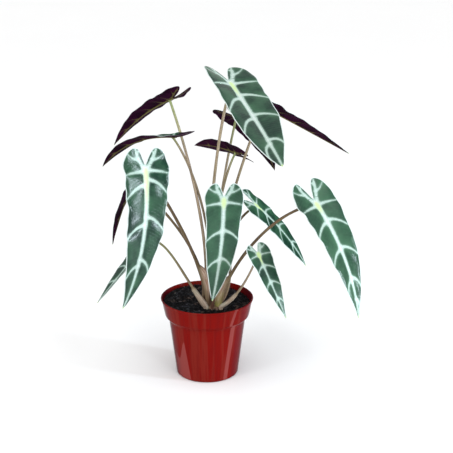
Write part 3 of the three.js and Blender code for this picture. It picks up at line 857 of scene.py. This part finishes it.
frontRight = {
    "name": "front_right", "at": (137, -45, 243), "long": 151, "half": 29, "lobe": 0.23,
    "heading": -48, "dip": -40, "roll": -11, "bend": 42, "fold": 7, "sweep": 5, "twist": 8, "lift": -14,
    "root": (16.5, -24.5), "rise": (24, -25, 153), "reach": (85, -32, 236), "thick": (2.3, 1.7),
    "sheath": {"high": 0.24, "half": 6.0, "deep": 3.4, "skew": 0.62, "hand": -1},
    "veinsPlus": (0.01, 0.17, 0.42, 0.68), "veinsMinus": (0.0, 0.15, 0.40, 0.66, 0.84),
    "veinSlant": 0.11, "tone": 0.55, "neckLong": 18, "dark": 0.62, "baseGreen": 0.9,
}
lowRight = {
    "name": "low_right", "at": (65, -60, 183), "long": 85, "half": 18, "lobe": 0.18,
    "heading": -48, "dip": -54, "roll": -4, "bend": 11, "fold": 11, "sweep": -8, "twist": 11, "lift": 8,
    "root": (18, -29.5), "rise": (50, -34, 121), "reach": (65, -45, 183), "thick": (1.7, 1.2),
    "sheath": {"high": 0.24, "half": 3.1, "deep": 2.9, "skew": 0.6, "hand": 0},
    "veinsPlus": (0.01, 0.18, 0.44, 0.70), "veinsMinus": (0.0, 0.17, 0.42, 0.68),
    "tone": -0.2, "fine": 0.7, "dark": 0.25, "pale": 0.5,
}
farLeft = {
    "name": "far_left", "at": (-92, 5, 258), "long": 100, "half": 18, "lobe": 0.2,
    "heading": 149, "dip": -60, "roll": 14, "bend": 15, "fold": 9, "sweep": 0, "twist": -4, "lift": 5,
    "root": (-6, -17.5), "rise": (8, -8, 162), "reach": (-62, 0, 232), "thick": (2.1, 1.5),
    "veinsPlus": (0.01, 0.14, 0.36, 0.60), "veinsMinus": (0.0, 0.12, 0.34, 0.58),
    "dark": 0.55,
}
lowLeft = {
    "name": "low_left", "at": (-76, -25, 188), "long": 103, "half": 18, "lobe": 0.2,
    "heading": 191, "dip": -51, "roll": 0, "bend": 2, "fold": 14, "sweep": 9, "twist": 9, "lift": 5,
    "root": (-1, -28), "rise": (-30, -29, 141), "reach": (-51, -26, 202), "thick": (1.9, 1.3),
    "sheath": {"high": 0.20, "half": 4.2, "deep": 3.6, "skew": 0.45, "hand": 0},
    "veinsPlus": (0.01, 0.16, 0.40, 0.64), "veinsMinus": (0.0, 0.14, 0.36, 0.60),
    "tone": -0.3, "fine": 0.7, "neck": 0.40, "neckLong": 80, "dark": 0.35, "pale": 0.1,
}
allLeaves = (upperLeft, levelLeft, frontLeft, frontCentre, topLeaf, backRight, backUpper,
             backLower, rightMiddle, frontRight, lowRight, farLeft, lowLeft)
for ownValues in allLeaves:
    leafHere = {**leafDefaults, **ownValues}
    growBlade(leafHere)
    growStem(leafHere)
print("leaves and stems grown:", len(allLeaves))


potLook = {
    "red": (0.185, 0.0055, 0.0040),
    "redDeep": (0.140, 0.0055, 0.0055),
    "redBrown": (0.190, 0.0150, 0.0100),
    # the next colour is the painted shade on the pot's sides
    "paintedShadeRed": (0.085, 0.0060, 0.0120),
    # the next colour and share are for the painted reflections on the body and collar
    "paintedReflection": (0.265, 0.0560, 0.0510),
    "paintedReflectionShare": 0.80,
    "cloudScale": 16.0,
    "grainScale": 1500.0,
    "uprightScale": 4.2,    # broad and narrow upright streaks
    "streakyScale": 15.0,
    "rough": 0.16,
    "shine": 0.02,
    "relief": (0.2, 0.0005),
    # below, heights are metres and turns are radians round the pot, 0 at the front and positive to the right
    "collar": (0.0795, 0.0815),
    "lineTurn": (1.70, 0.615),      # the upright painted reflection line: its lean and its place
    "lineOnCollar": (2.4, -0.345),  # the same two, added on the collar
    "lineHalf": (0.062, 0.028),     # half its width on the body and on the collar
    "lineSoft": 0.022,
    "lineShare": 0.85,
    "patchTurn": (-0.94, -0.67),    # the low painted reflection patch rises from the first height to the second
    "patchHigh": (0.030, 0.056),
    "patchTip": (-1.12, -0.97, 0.006),
    "patchSide": (-2.5, -0.53),
    "patchStart": (-1.15, -1.10),
    "paintedSideShade": (0.82, 1.30, 0.80),    # painted shade on the sides: start, full and strength
    # more painted shade on the right side
    "paintedRightShade": (0.76, 0.95, 0.45),
    "paintedShadeEnd": (1.9, 2.4),
}
pot = {
    "high": 104, "rim": 60, "base": 40.3, "wall": 1.3, "floor": 1.7,
    "band": 22.5, "step": 4.6, "bodyTop": 49.7, "lip": 1.6,
    "axis": 0.4,            # the turned shell stops this far from its axis
    "sides": 160, "rowGap": 6, "wobble": 0.0008,
}


def makePotPlastic(look):
    r = Recipe("pot_plastic")
    place = r.places()
    apart = r.tree.nodes.new("ShaderNodeSeparateXYZ")
    r.tree.links.new(place, apart.inputs[0])
    x, y, z = apart.outputs
    turn = r.maths("ARCTAN2", x, r.times(y, -1.0))
    cloud = r.noise(place, look["cloudScale"], 3.0)
    grain = r.noise(place, look["grainScale"], 2.0)
    ring = r.node("ShaderNodeCombineXYZ", inputs={
        "X": r.maths("COSINE", turn), "Y": r.maths("SINE", turn), "Z": r.times(z, 1.2)})
    upright = r.noise(ring, look["uprightScale"], 2.0)
    streaky = r.noise(ring, look["streakyScale"], 3.0)
    colour = r.mix(r.ramp(upright, 0.46, 0.54), look["red"], look["redBrown"])
    colour = r.mix(r.ramp(streaky, 0.50, 0.62, 0.0, 0.45), colour, look["redDeep"])
    colour = r.mix(r.ramp(cloud, 0.45, 0.75, 0.0, 0.35), colour, look["redDeep"])
    # two painted reflections, paler places on the glossy plastic: a thin line and a low pointed patch
    onCollar = r.ramp(z, *look["collar"])
    lineAt = r.maths("MULTIPLY_ADD", z, *look["lineTurn"])
    lineAt = r.plus(lineAt, r.times(onCollar, r.maths("MULTIPLY_ADD", z, *look["lineOnCollar"])))
    away = r.maths("ABSOLUTE", r.maths("SUBTRACT", turn, lineAt))
    lineHalf = r.ramp(onCollar, 0.0, 1.0, *look["lineHalf"])
    line = r.ramp(r.maths("SUBTRACT", away, lineHalf), 0.0, look["lineSoft"], look["lineShare"], 0.0)
    colour = r.mix(r.times(line, r.ramp(streaky, 0.3, 0.6, 0.8, 1.0)), colour, look["paintedReflection"])
    # the low pointed patch of painted reflection
    tipFrom, tipTo, tipHigh = look["patchTip"]
    crest = r.plus(r.ramp(turn, *look["patchTurn"], *look["patchHigh"]),
                   r.ramp(turn, tipFrom, tipTo, tipHigh, 0.0))
    sideEdge = r.maths("MULTIPLY_ADD", z, *look["patchSide"])
    patch = r.times(r.ramp(r.maths("SUBTRACT", crest, z), -0.001, 0.003),
                    r.ramp(r.maths("SUBTRACT", sideEdge, turn), -0.012, 0.012))
    patch = r.times(patch, r.ramp(turn, *look["patchStart"]))
    colour = r.mix(r.times(patch, look["paintedReflectionShare"]), colour, look["paintedReflection"])
    # painted shade: darker sides, which fade out toward the back
    away = r.maths("ABSOLUTE", turn)
    start, full, share = look["paintedSideShade"]
    paintedSideShade = r.ramp(away, start, full, 0.0, share)
    start, full, share = look["paintedRightShade"]
    paintedSideShade = r.maths("MAXIMUM", paintedSideShade, r.ramp(turn, start, full, 0.0, share))
    colour = r.mix(r.times(paintedSideShade, r.ramp(away, *look["paintedShadeEnd"], 1.0, 0.0)), colour, look["paintedShadeRed"])
    rough = r.ramp(streaky, 0.35, 0.75, look["rough"] - 0.02, look["rough"] + 0.08)
    rough = r.plus(rough, r.times(cloud, 0.05))
    normal = r.bump(r.plus(r.times(streaky, 0.6), r.times(grain, 0.02)), look["relief"])
    return r.finish(colour, rough, normal, Specular_IOR_Level=look["shine"])


def turnedPiece(name, outline, sides, materials, wobble):
    # outline is a row of (radius, height) pairs turned round the pot's axis
    angle = np.linspace(0, 2 * math.pi, sides, endpoint=False)
    unround = 1 + wobble * (np.sin(3 * angle + 0.7) + 0.5 * np.sin(5 * angle))
    rings = [np.stack([radius * unround * np.cos(angle), radius * unround * np.sin(angle),
                       np.full(sides, high)], -1) for radius, high in outline]
    return meshPiece(name, np.concatenate(rings), ringFaces(len(outline), sides), materials=materials)


def roundCorner(before, corner, after, radius, steps=4):
    # a corner of the outline replaced by a short arc
    before, corner, after = (np.array(spot, float) for spot in (before, corner, after))
    a = corner + (before - corner) / np.linalg.norm(before - corner) * radius
    b = corner + (after - corner) / np.linalg.norm(after - corner) * radius
    s = np.linspace(0, 1, steps + 1)[:, None]
    return (a * (1 - s) ** 2 + 2 * corner * s * (1 - s) + b * s ** 2).tolist()


def potOutline(p):
    # (radius, height, rounding) from the middle of the underside, up the outside and down the inside
    axis, base, body, wall, floor = p["axis"], p["base"], p["bodyTop"], p["wall"], p["floor"]
    foot = p["high"] - p["band"]
    collar = body + p["step"]
    rim, high, lip = p["rim"], p["high"], p["lip"]
    corners = [(axis, 0.0, 0), (14, 0.0, 0), (base - 1.2, 0.0, 0.5), (base, 1.2, 0.8),
               (body, foot - 5.5, 1.2), (collar, foot - 1, 1.0),
               (collar + 0.5, foot + 0.5, 0.7), (rim - 1, high - 2.2, 0.3),
               (rim, high - lip, 0.4), (rim, high - 0.6, 0.35), (rim - 0.6, high, 0.4),
               (rim - lip, high, 0.4), (rim - 2.3, high - 1.4, 0.5),
               (collar + 0.5 - wall, foot + 1, 0.5), (collar - wall, foot, 0.5),
               (body - wall, foot - 4.6, 0.8), (base - wall, floor, 1.0), (axis, floor, 0)]
    outline = []
    for n, (radius, height, rounding) in enumerate(corners):
        if rounding:
            outline += roundCorner(corners[n - 1][:2], (radius, height), corners[n + 1][:2], rounding)
        else:
            outline.append([radius, height])
    # long straight stretches get rows in between
    rows = []
    for a, b in zip(outline[:-1], outline[1:]):
        gaps = int(math.dist(a, b) / p["rowGap"])
        rows += [[fromTo((a[n], b[n]), k / (gaps + 1)) for n in (0, 1)] for k in range(gaps + 1)]
    return rows + [outline[-1]]


def makePot(p):
    piece = turnedPiece("pot_shell", potOutline(p), p["sides"], (makePotPlastic(potLook),), p["wobble"])
    tidyMesh(piece)
    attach(piece, "root")
    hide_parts("pot")


makePot(pot)
print("pot made")


soilLook = {
    "peat": (0.0018, 0.0018, 0.0028),
    "peatWarm": (0.0062, 0.0052, 0.0064),
    "bark": (0.0800, 0.0540, 0.0430),
    "barkBlue": (0.0480, 0.0500, 0.0620),
    "pale": (0.20, 0.20, 0.17),
    "coarseScale": 130.0,
    "fineScale": 900.0,
    "chipScale": 45.0,
    "rough": (0.38, 0.80),
    "shine": 0.14,
    "relief": (0.9, 0.0010),
}
soil = {
    "level": 98.6, "mound": 1.5, "moundReach": 50, "tilt": (-0.035, 0.02),
    "radius": 55.9, "depth": 14.0, "shrink": 0.985,
    "rings": 64, "sides": 150,
    "lumps": 0.75,
    "waves": ((17, 0.5), (8, 0.35), (4.2, 0.3), (2.3, 0.22), (1.4, 0.14)),     # length in mm, height
    "edgeDrop": (0.93, 14, 1.1),    # where the ground dips at the wall, how fast and how deep
    # loose bits: number, then ranges of length, width, thickness and shade
    "bits": (
        (2300, (2.5, 9.0), (0.3, 0.8), (0.25, 0.5), (0.0, 0.55)),     # fibres
        (1700, (0.8, 2.6), (0.8, 2.0), (0.7, 1.5), (0.0, 0.3)),       # crumbs
        (560, (3.0, 8.5), (1.3, 3.2), (0.5, 1.1), (0.05, 0.9)),       # chips of bark
        (16, (0.7, 1.5), (0.6, 1.2), (0.5, 0.9), (0.95, 1.0)),        # pale specks
    ),
    "bitShape": ((-0.5, 0.45), (-0.12, 1.0), (0.2, 0.9), (0.5, 0.35)),  # place along it, size
    "shortBit": 1.4,
    "seed": 41,
}


def soilHeight(x, y):
    middle = 1 - np.minimum(1, np.hypot(x, y) / soil["moundReach"]) ** 2
    return soil["level"] + soil["mound"] * middle + soil["tilt"][0] * x + soil["tilt"][1] * y


def lumps(x, y, dice):
    # a sum of slow and quick waves in random directions, for uneven ground
    height = np.zeros_like(x)
    for size, share in soil["waves"]:
        for _ in range(4):
            way = dice.uniform(0, 2 * math.pi)
            across = (x * math.cos(way) + y * math.sin(way)) * 2 * math.pi / size
            height += share * np.sin(across + dice.uniform(0, 6.28)) * 0.5
    return height * soil["lumps"]


def makeSoilSkin(look):
    r = Recipe("peat_mix")
    place = r.places()
    shade = r.read("shade")
    coarse = r.noise(place, look["coarseScale"], 6.0, 0.7)
    fine = r.noise(place, look["fineScale"], 5.0, 0.7)
    colour = r.mix(r.ramp(coarse, 0.40, 0.68), look["peat"], look["peatWarm"])
    patch = r.noise(place, look["chipScale"], 2.0)
    chip = r.mix(r.ramp(patch, 0.45, 0.55), look["barkBlue"], look["bark"])
    colour = r.mix(r.ramp(shade, 0.22, 0.75), colour, chip)
    colour = r.mix(r.ramp(shade, 0.9, 1.0), colour, look["pale"])
    normal = r.bump(r.plus(coarse, r.times(fine, 0.6)), look["relief"])
    rough = r.ramp(coarse, 0.3, 0.7, *look["rough"])
    return r.finish(colour, rough, normal, Specular_IOR_Level=look["shine"])


def addBit(spots, faces, centre, way, length, width, thick, dice):
    # one fibre, crumb or chip: a bent box with tapered ends
    way = way / np.linalg.norm(way)
    side = np.cross(way, [dice.uniform(-0.5, 0.5), dice.uniform(-0.5, 0.5), 1.0])
    side /= np.linalg.norm(side)
    top = np.cross(side, way)
    first = len(spots)
    bow = dice.uniform(-0.12, 0.12) * length
    for s, size in soil["bitShape"]:
        middle = centre + way * s * length + side * bow * (1 - 4 * s * s)
        for a, b in ((1, 1), (-1, 1), (-1, -1), (1, -1)):
            ragged = size * 0.5 * (1 + dice.uniform(-0.25, 0.25))
            spots.append(middle + side * a * width * ragged + top * b * thick * ragged)
    for k in range(3):
        for c in range(4):
            a, b = first + 4 * k + c, first + 4 * k + (c + 1) % 4
            faces.append((a, b, b + 4, a + 4))
    faces.append((first + 3, first + 2, first + 1, first))
    faces.append((first + 12, first + 13, first + 14, first + 15))


def makeSoil(s):
    dice = random.Random(s["seed"])
    rings, sides = s["rings"], s["sides"]
    share = np.linspace(0, 1, rings)[:, None]
    angle = np.linspace(0, 2 * math.pi, sides, endpoint=False)[None, :]
    radius = share * s["radius"]
    x, y = radius * np.cos(angle), radius * np.sin(angle)
    z = soilHeight(x, y) - 0.5 + lumps(x, y, dice)
    edge, rate, deep = s["edgeDrop"]
    z = z - deep * np.clip((share - edge) * rate, 0, 1) ** 2
    # a last ring down the inside of the wall and a floor close the body of soil
    lowest = np.stack([x[-1] * s["shrink"], y[-1] * s["shrink"], np.full(sides, s["level"] - s["depth"])], -1)
    spots = list(np.concatenate([np.stack([x, y, z], -1).reshape(-1, 3), lowest]))
    faces = ringFaces(rings + 1, sides, inward=True)
    faces.append(tuple(rings * sides + k for k in range(sides)))
    shades = [0.0] * len(spots)
    for count, lengths, widths, thicks, tones in s["bits"]:
        for _ in range(count):
            far = math.sqrt(dice.random()) * (s["radius"] - 2.0)
            turn = dice.uniform(0, 2 * math.pi)
            px, py = far * math.cos(turn), far * math.sin(turn)
            length = dice.uniform(*lengths)
            swing = dice.uniform(0, 6.28)
            way = np.array([math.cos(swing), math.sin(swing), dice.gauss(0, 0.32)])
            if far + length / 2 > s["radius"] - 1:
                length = s["shortBit"]
            centre = np.array([px, py, soilHeight(px, py) - 0.35 + dice.uniform(-0.5, 0.9)])
            shade = dice.uniform(*tones)
            shade = shade if shade >= 0.95 else shade ** 1.6  # specks stay pale, most other bits are dark
            before = len(spots)
            addBit(spots, faces, centre, way, length, dice.uniform(*widths), dice.uniform(*thicks), dice)
            shades += [shade] * (len(spots) - before)
    piece = meshPiece("soil_peat", spots, faces, {"shade": shades}, materials=(makeSoilSkin(soilLook),))
    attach(piece, "root")
    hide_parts("soil")


makeSoil(soil)
print("soil made")

cormLook = {
    "skin": (0.235, 0.145, 0.100),
    "skinDark": (0.115, 0.060, 0.045),
    "green": (0.250, 0.240, 0.080),
    "ringScale": 90.0,
    "stretch": (0.5, 0.5, 4.0),     # flattens the noise into rings
    "blotchScale": 120.0,
    "rough": (0.5, 0.7),
    "shine": 0.3,
    "relief": (0.8, 0.0008),
}
corm = {
    "centre": (8.5, -22), "radius": 12.0, "top": 101.0, "bottom": 88.5,
    "rings": 26, "sides": 64,
    "fullness": 0.6,        # below 1 the sides are steeper than a ball's
    "bulges": (0.05, 0.035, 0.02),
    "seed": 9,
}


def makeCormSkin(look):
    r = Recipe("corm_skin")
    place = r.places()
    ringed = r.noise(place, look["ringScale"], 5.0, 0.6, look["stretch"])
    blotch = r.noise(place, look["blotchScale"], 4.0)
    colour = r.mix(r.ramp(ringed, 0.35, 0.65), look["skin"], look["skinDark"])
    colour = r.mix(r.ramp(blotch, 0.5, 0.7, 0.0, 0.5), colour, look["green"])
    rough = r.ramp(blotch, 0.3, 0.7, *look["rough"])
    return r.finish(colour, rough, r.bump(ringed, look["relief"]), Specular_IOR_Level=look["shine"])


def makeCorm(c):
    dice = random.Random(c["seed"])
    rings, sides = c["rings"], c["sides"]
    tilt = np.linspace(-math.pi / 2, math.pi / 2, rings)[:, None]
    angle = np.linspace(0, 2 * math.pi, sides, endpoint=False)[None, :]
    broad, small, ringed = c["bulges"]
    swell = 1 + broad * np.sin(3 * angle + dice.uniform(0, 6)) + small * np.sin(7 * angle + 2 * tilt)
    swell = swell + ringed * np.sin(22 * tilt)
    out = c["radius"] * np.cos(tilt) ** c["fullness"] * swell
    x = c["centre"][0] + out * np.cos(angle)
    y = c["centre"][1] + out * np.sin(angle)
    middle, half = (c["top"] + c["bottom"]) / 2, (c["top"] - c["bottom"]) / 2
    z = np.broadcast_to(middle + half * np.sin(tilt), x.shape)
    spots = np.stack([x, y, z], -1).reshape(-1, 3)
    piece = meshPiece("corm_flesh", spots, ringFaces(rings, sides), materials=(makeCormSkin(cormLook),))
    tidyMesh(piece)
    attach(piece, "root")
    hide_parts("corm")


makeCorm(corm)
print("corm made")


studio = {
    "floor": (0.86, 0.86, 0.86),
    "floorPale": (0.88, 0.88, 0.88),
    "floorWide": 60,        # metres, as are the places and sizes below
    "floorDrop": 0.0004,    # keeps the floor clear of the pot's underside
    "ambient": 0.70,
    "sun": {"from": (-0.12, -0.62, 1.30), "strength": 1.6, "spread": 75},
    "lamps": (
        # place, aim, size across, size up, power, colour
        ((-1.05, -0.98, 0.80), (-0.05, 0, 0.25), 0.24, 0.60, 4, (0.90, 0.96, 1.0)),
        ((0.62, -1.35, 1.25), (0.05, 0, 0.25), 0.22, 0.50, 3, (0.94, 0.98, 1.0)),
        ((1.38, -0.48, 0.36), (-0.05, -0.08, 0.22), 0.15, 0.80, 16, (0.78, 0.90, 1.0)),
    ),
}


def makeFloor(look):
    bpy.ops.mesh.primitive_plane_add(size=look["floorWide"], location=(0, 0, -look["floorDrop"]))
    floor = bpy.context.object
    floor.name = "studio_floor"
    r = Recipe("floor_paint")
    soft = r.noise(r.places(), 3.0, 2.0)
    pale = r.mix(r.ramp(soft, 0.2, 0.8, 0.0, 0.3), look["floor"], look["floorPale"])
    floor.data.materials.append(r.finish(pale, 0.7, Specular_IOR_Level=0.2))


def hangLight(name, light, place, aim):
    holder = bpy.data.objects.new(name, light)
    holder.location = place
    holder.rotation_euler = (Vector(aim) - Vector(place)).to_track_quat("-Z", "Y").to_euler()
    bpy.context.scene.collection.objects.link(holder)


def makeLights(look):
    world = bpy.data.worlds.new("studio_air")
    bpy.context.scene.world = world
    world.use_nodes = True
    air = world.node_tree.nodes["Background"]
    air.inputs["Color"].default_value = (1.0, 1.0, 1.0, 1.0)
    air.inputs["Strength"].default_value = look["ambient"]
    sun = bpy.data.lights.new("ceiling_light", "SUN")
    sun.energy = look["sun"]["strength"]
    sun.angle = math.radians(look["sun"]["spread"])
    hangLight("ceiling_light", sun, look["sun"]["from"], (0, 0, 0))
    for number, (place, aim, across, tall, power, colour) in enumerate(look["lamps"]):
        lamp = bpy.data.lights.new("softbox_%d" % number, "AREA")
        lamp.shape = "RECTANGLE"
        lamp.size = across
        lamp.size_y = tall
        lamp.energy = power
        lamp.color = colour
        hangLight("softbox_%d" % number, lamp, place, aim)


view = {"place": (0.0253, -1.5822, 0.7325), "pitch": 18.6, "lens": 104.0, "sensor": 36.0}


def makeCamera(v):
    eye = bpy.data.cameras.new("camera")
    eye.lens = v["lens"]
    eye.sensor_width = v["sensor"]
    holder = bpy.data.objects.new("camera", eye)
    holder.location = v["place"]
    holder.rotation_euler = (math.radians(90 - v["pitch"]), 0, 0)
    bpy.context.scene.collection.objects.link(holder)
    bpy.context.scene.camera = holder
    bpy.context.scene.view_settings.view_transform = "Standard"


makeFloor(studio)
makeLights(studio)
makeCamera(view)
print("floor, lights and camera set")
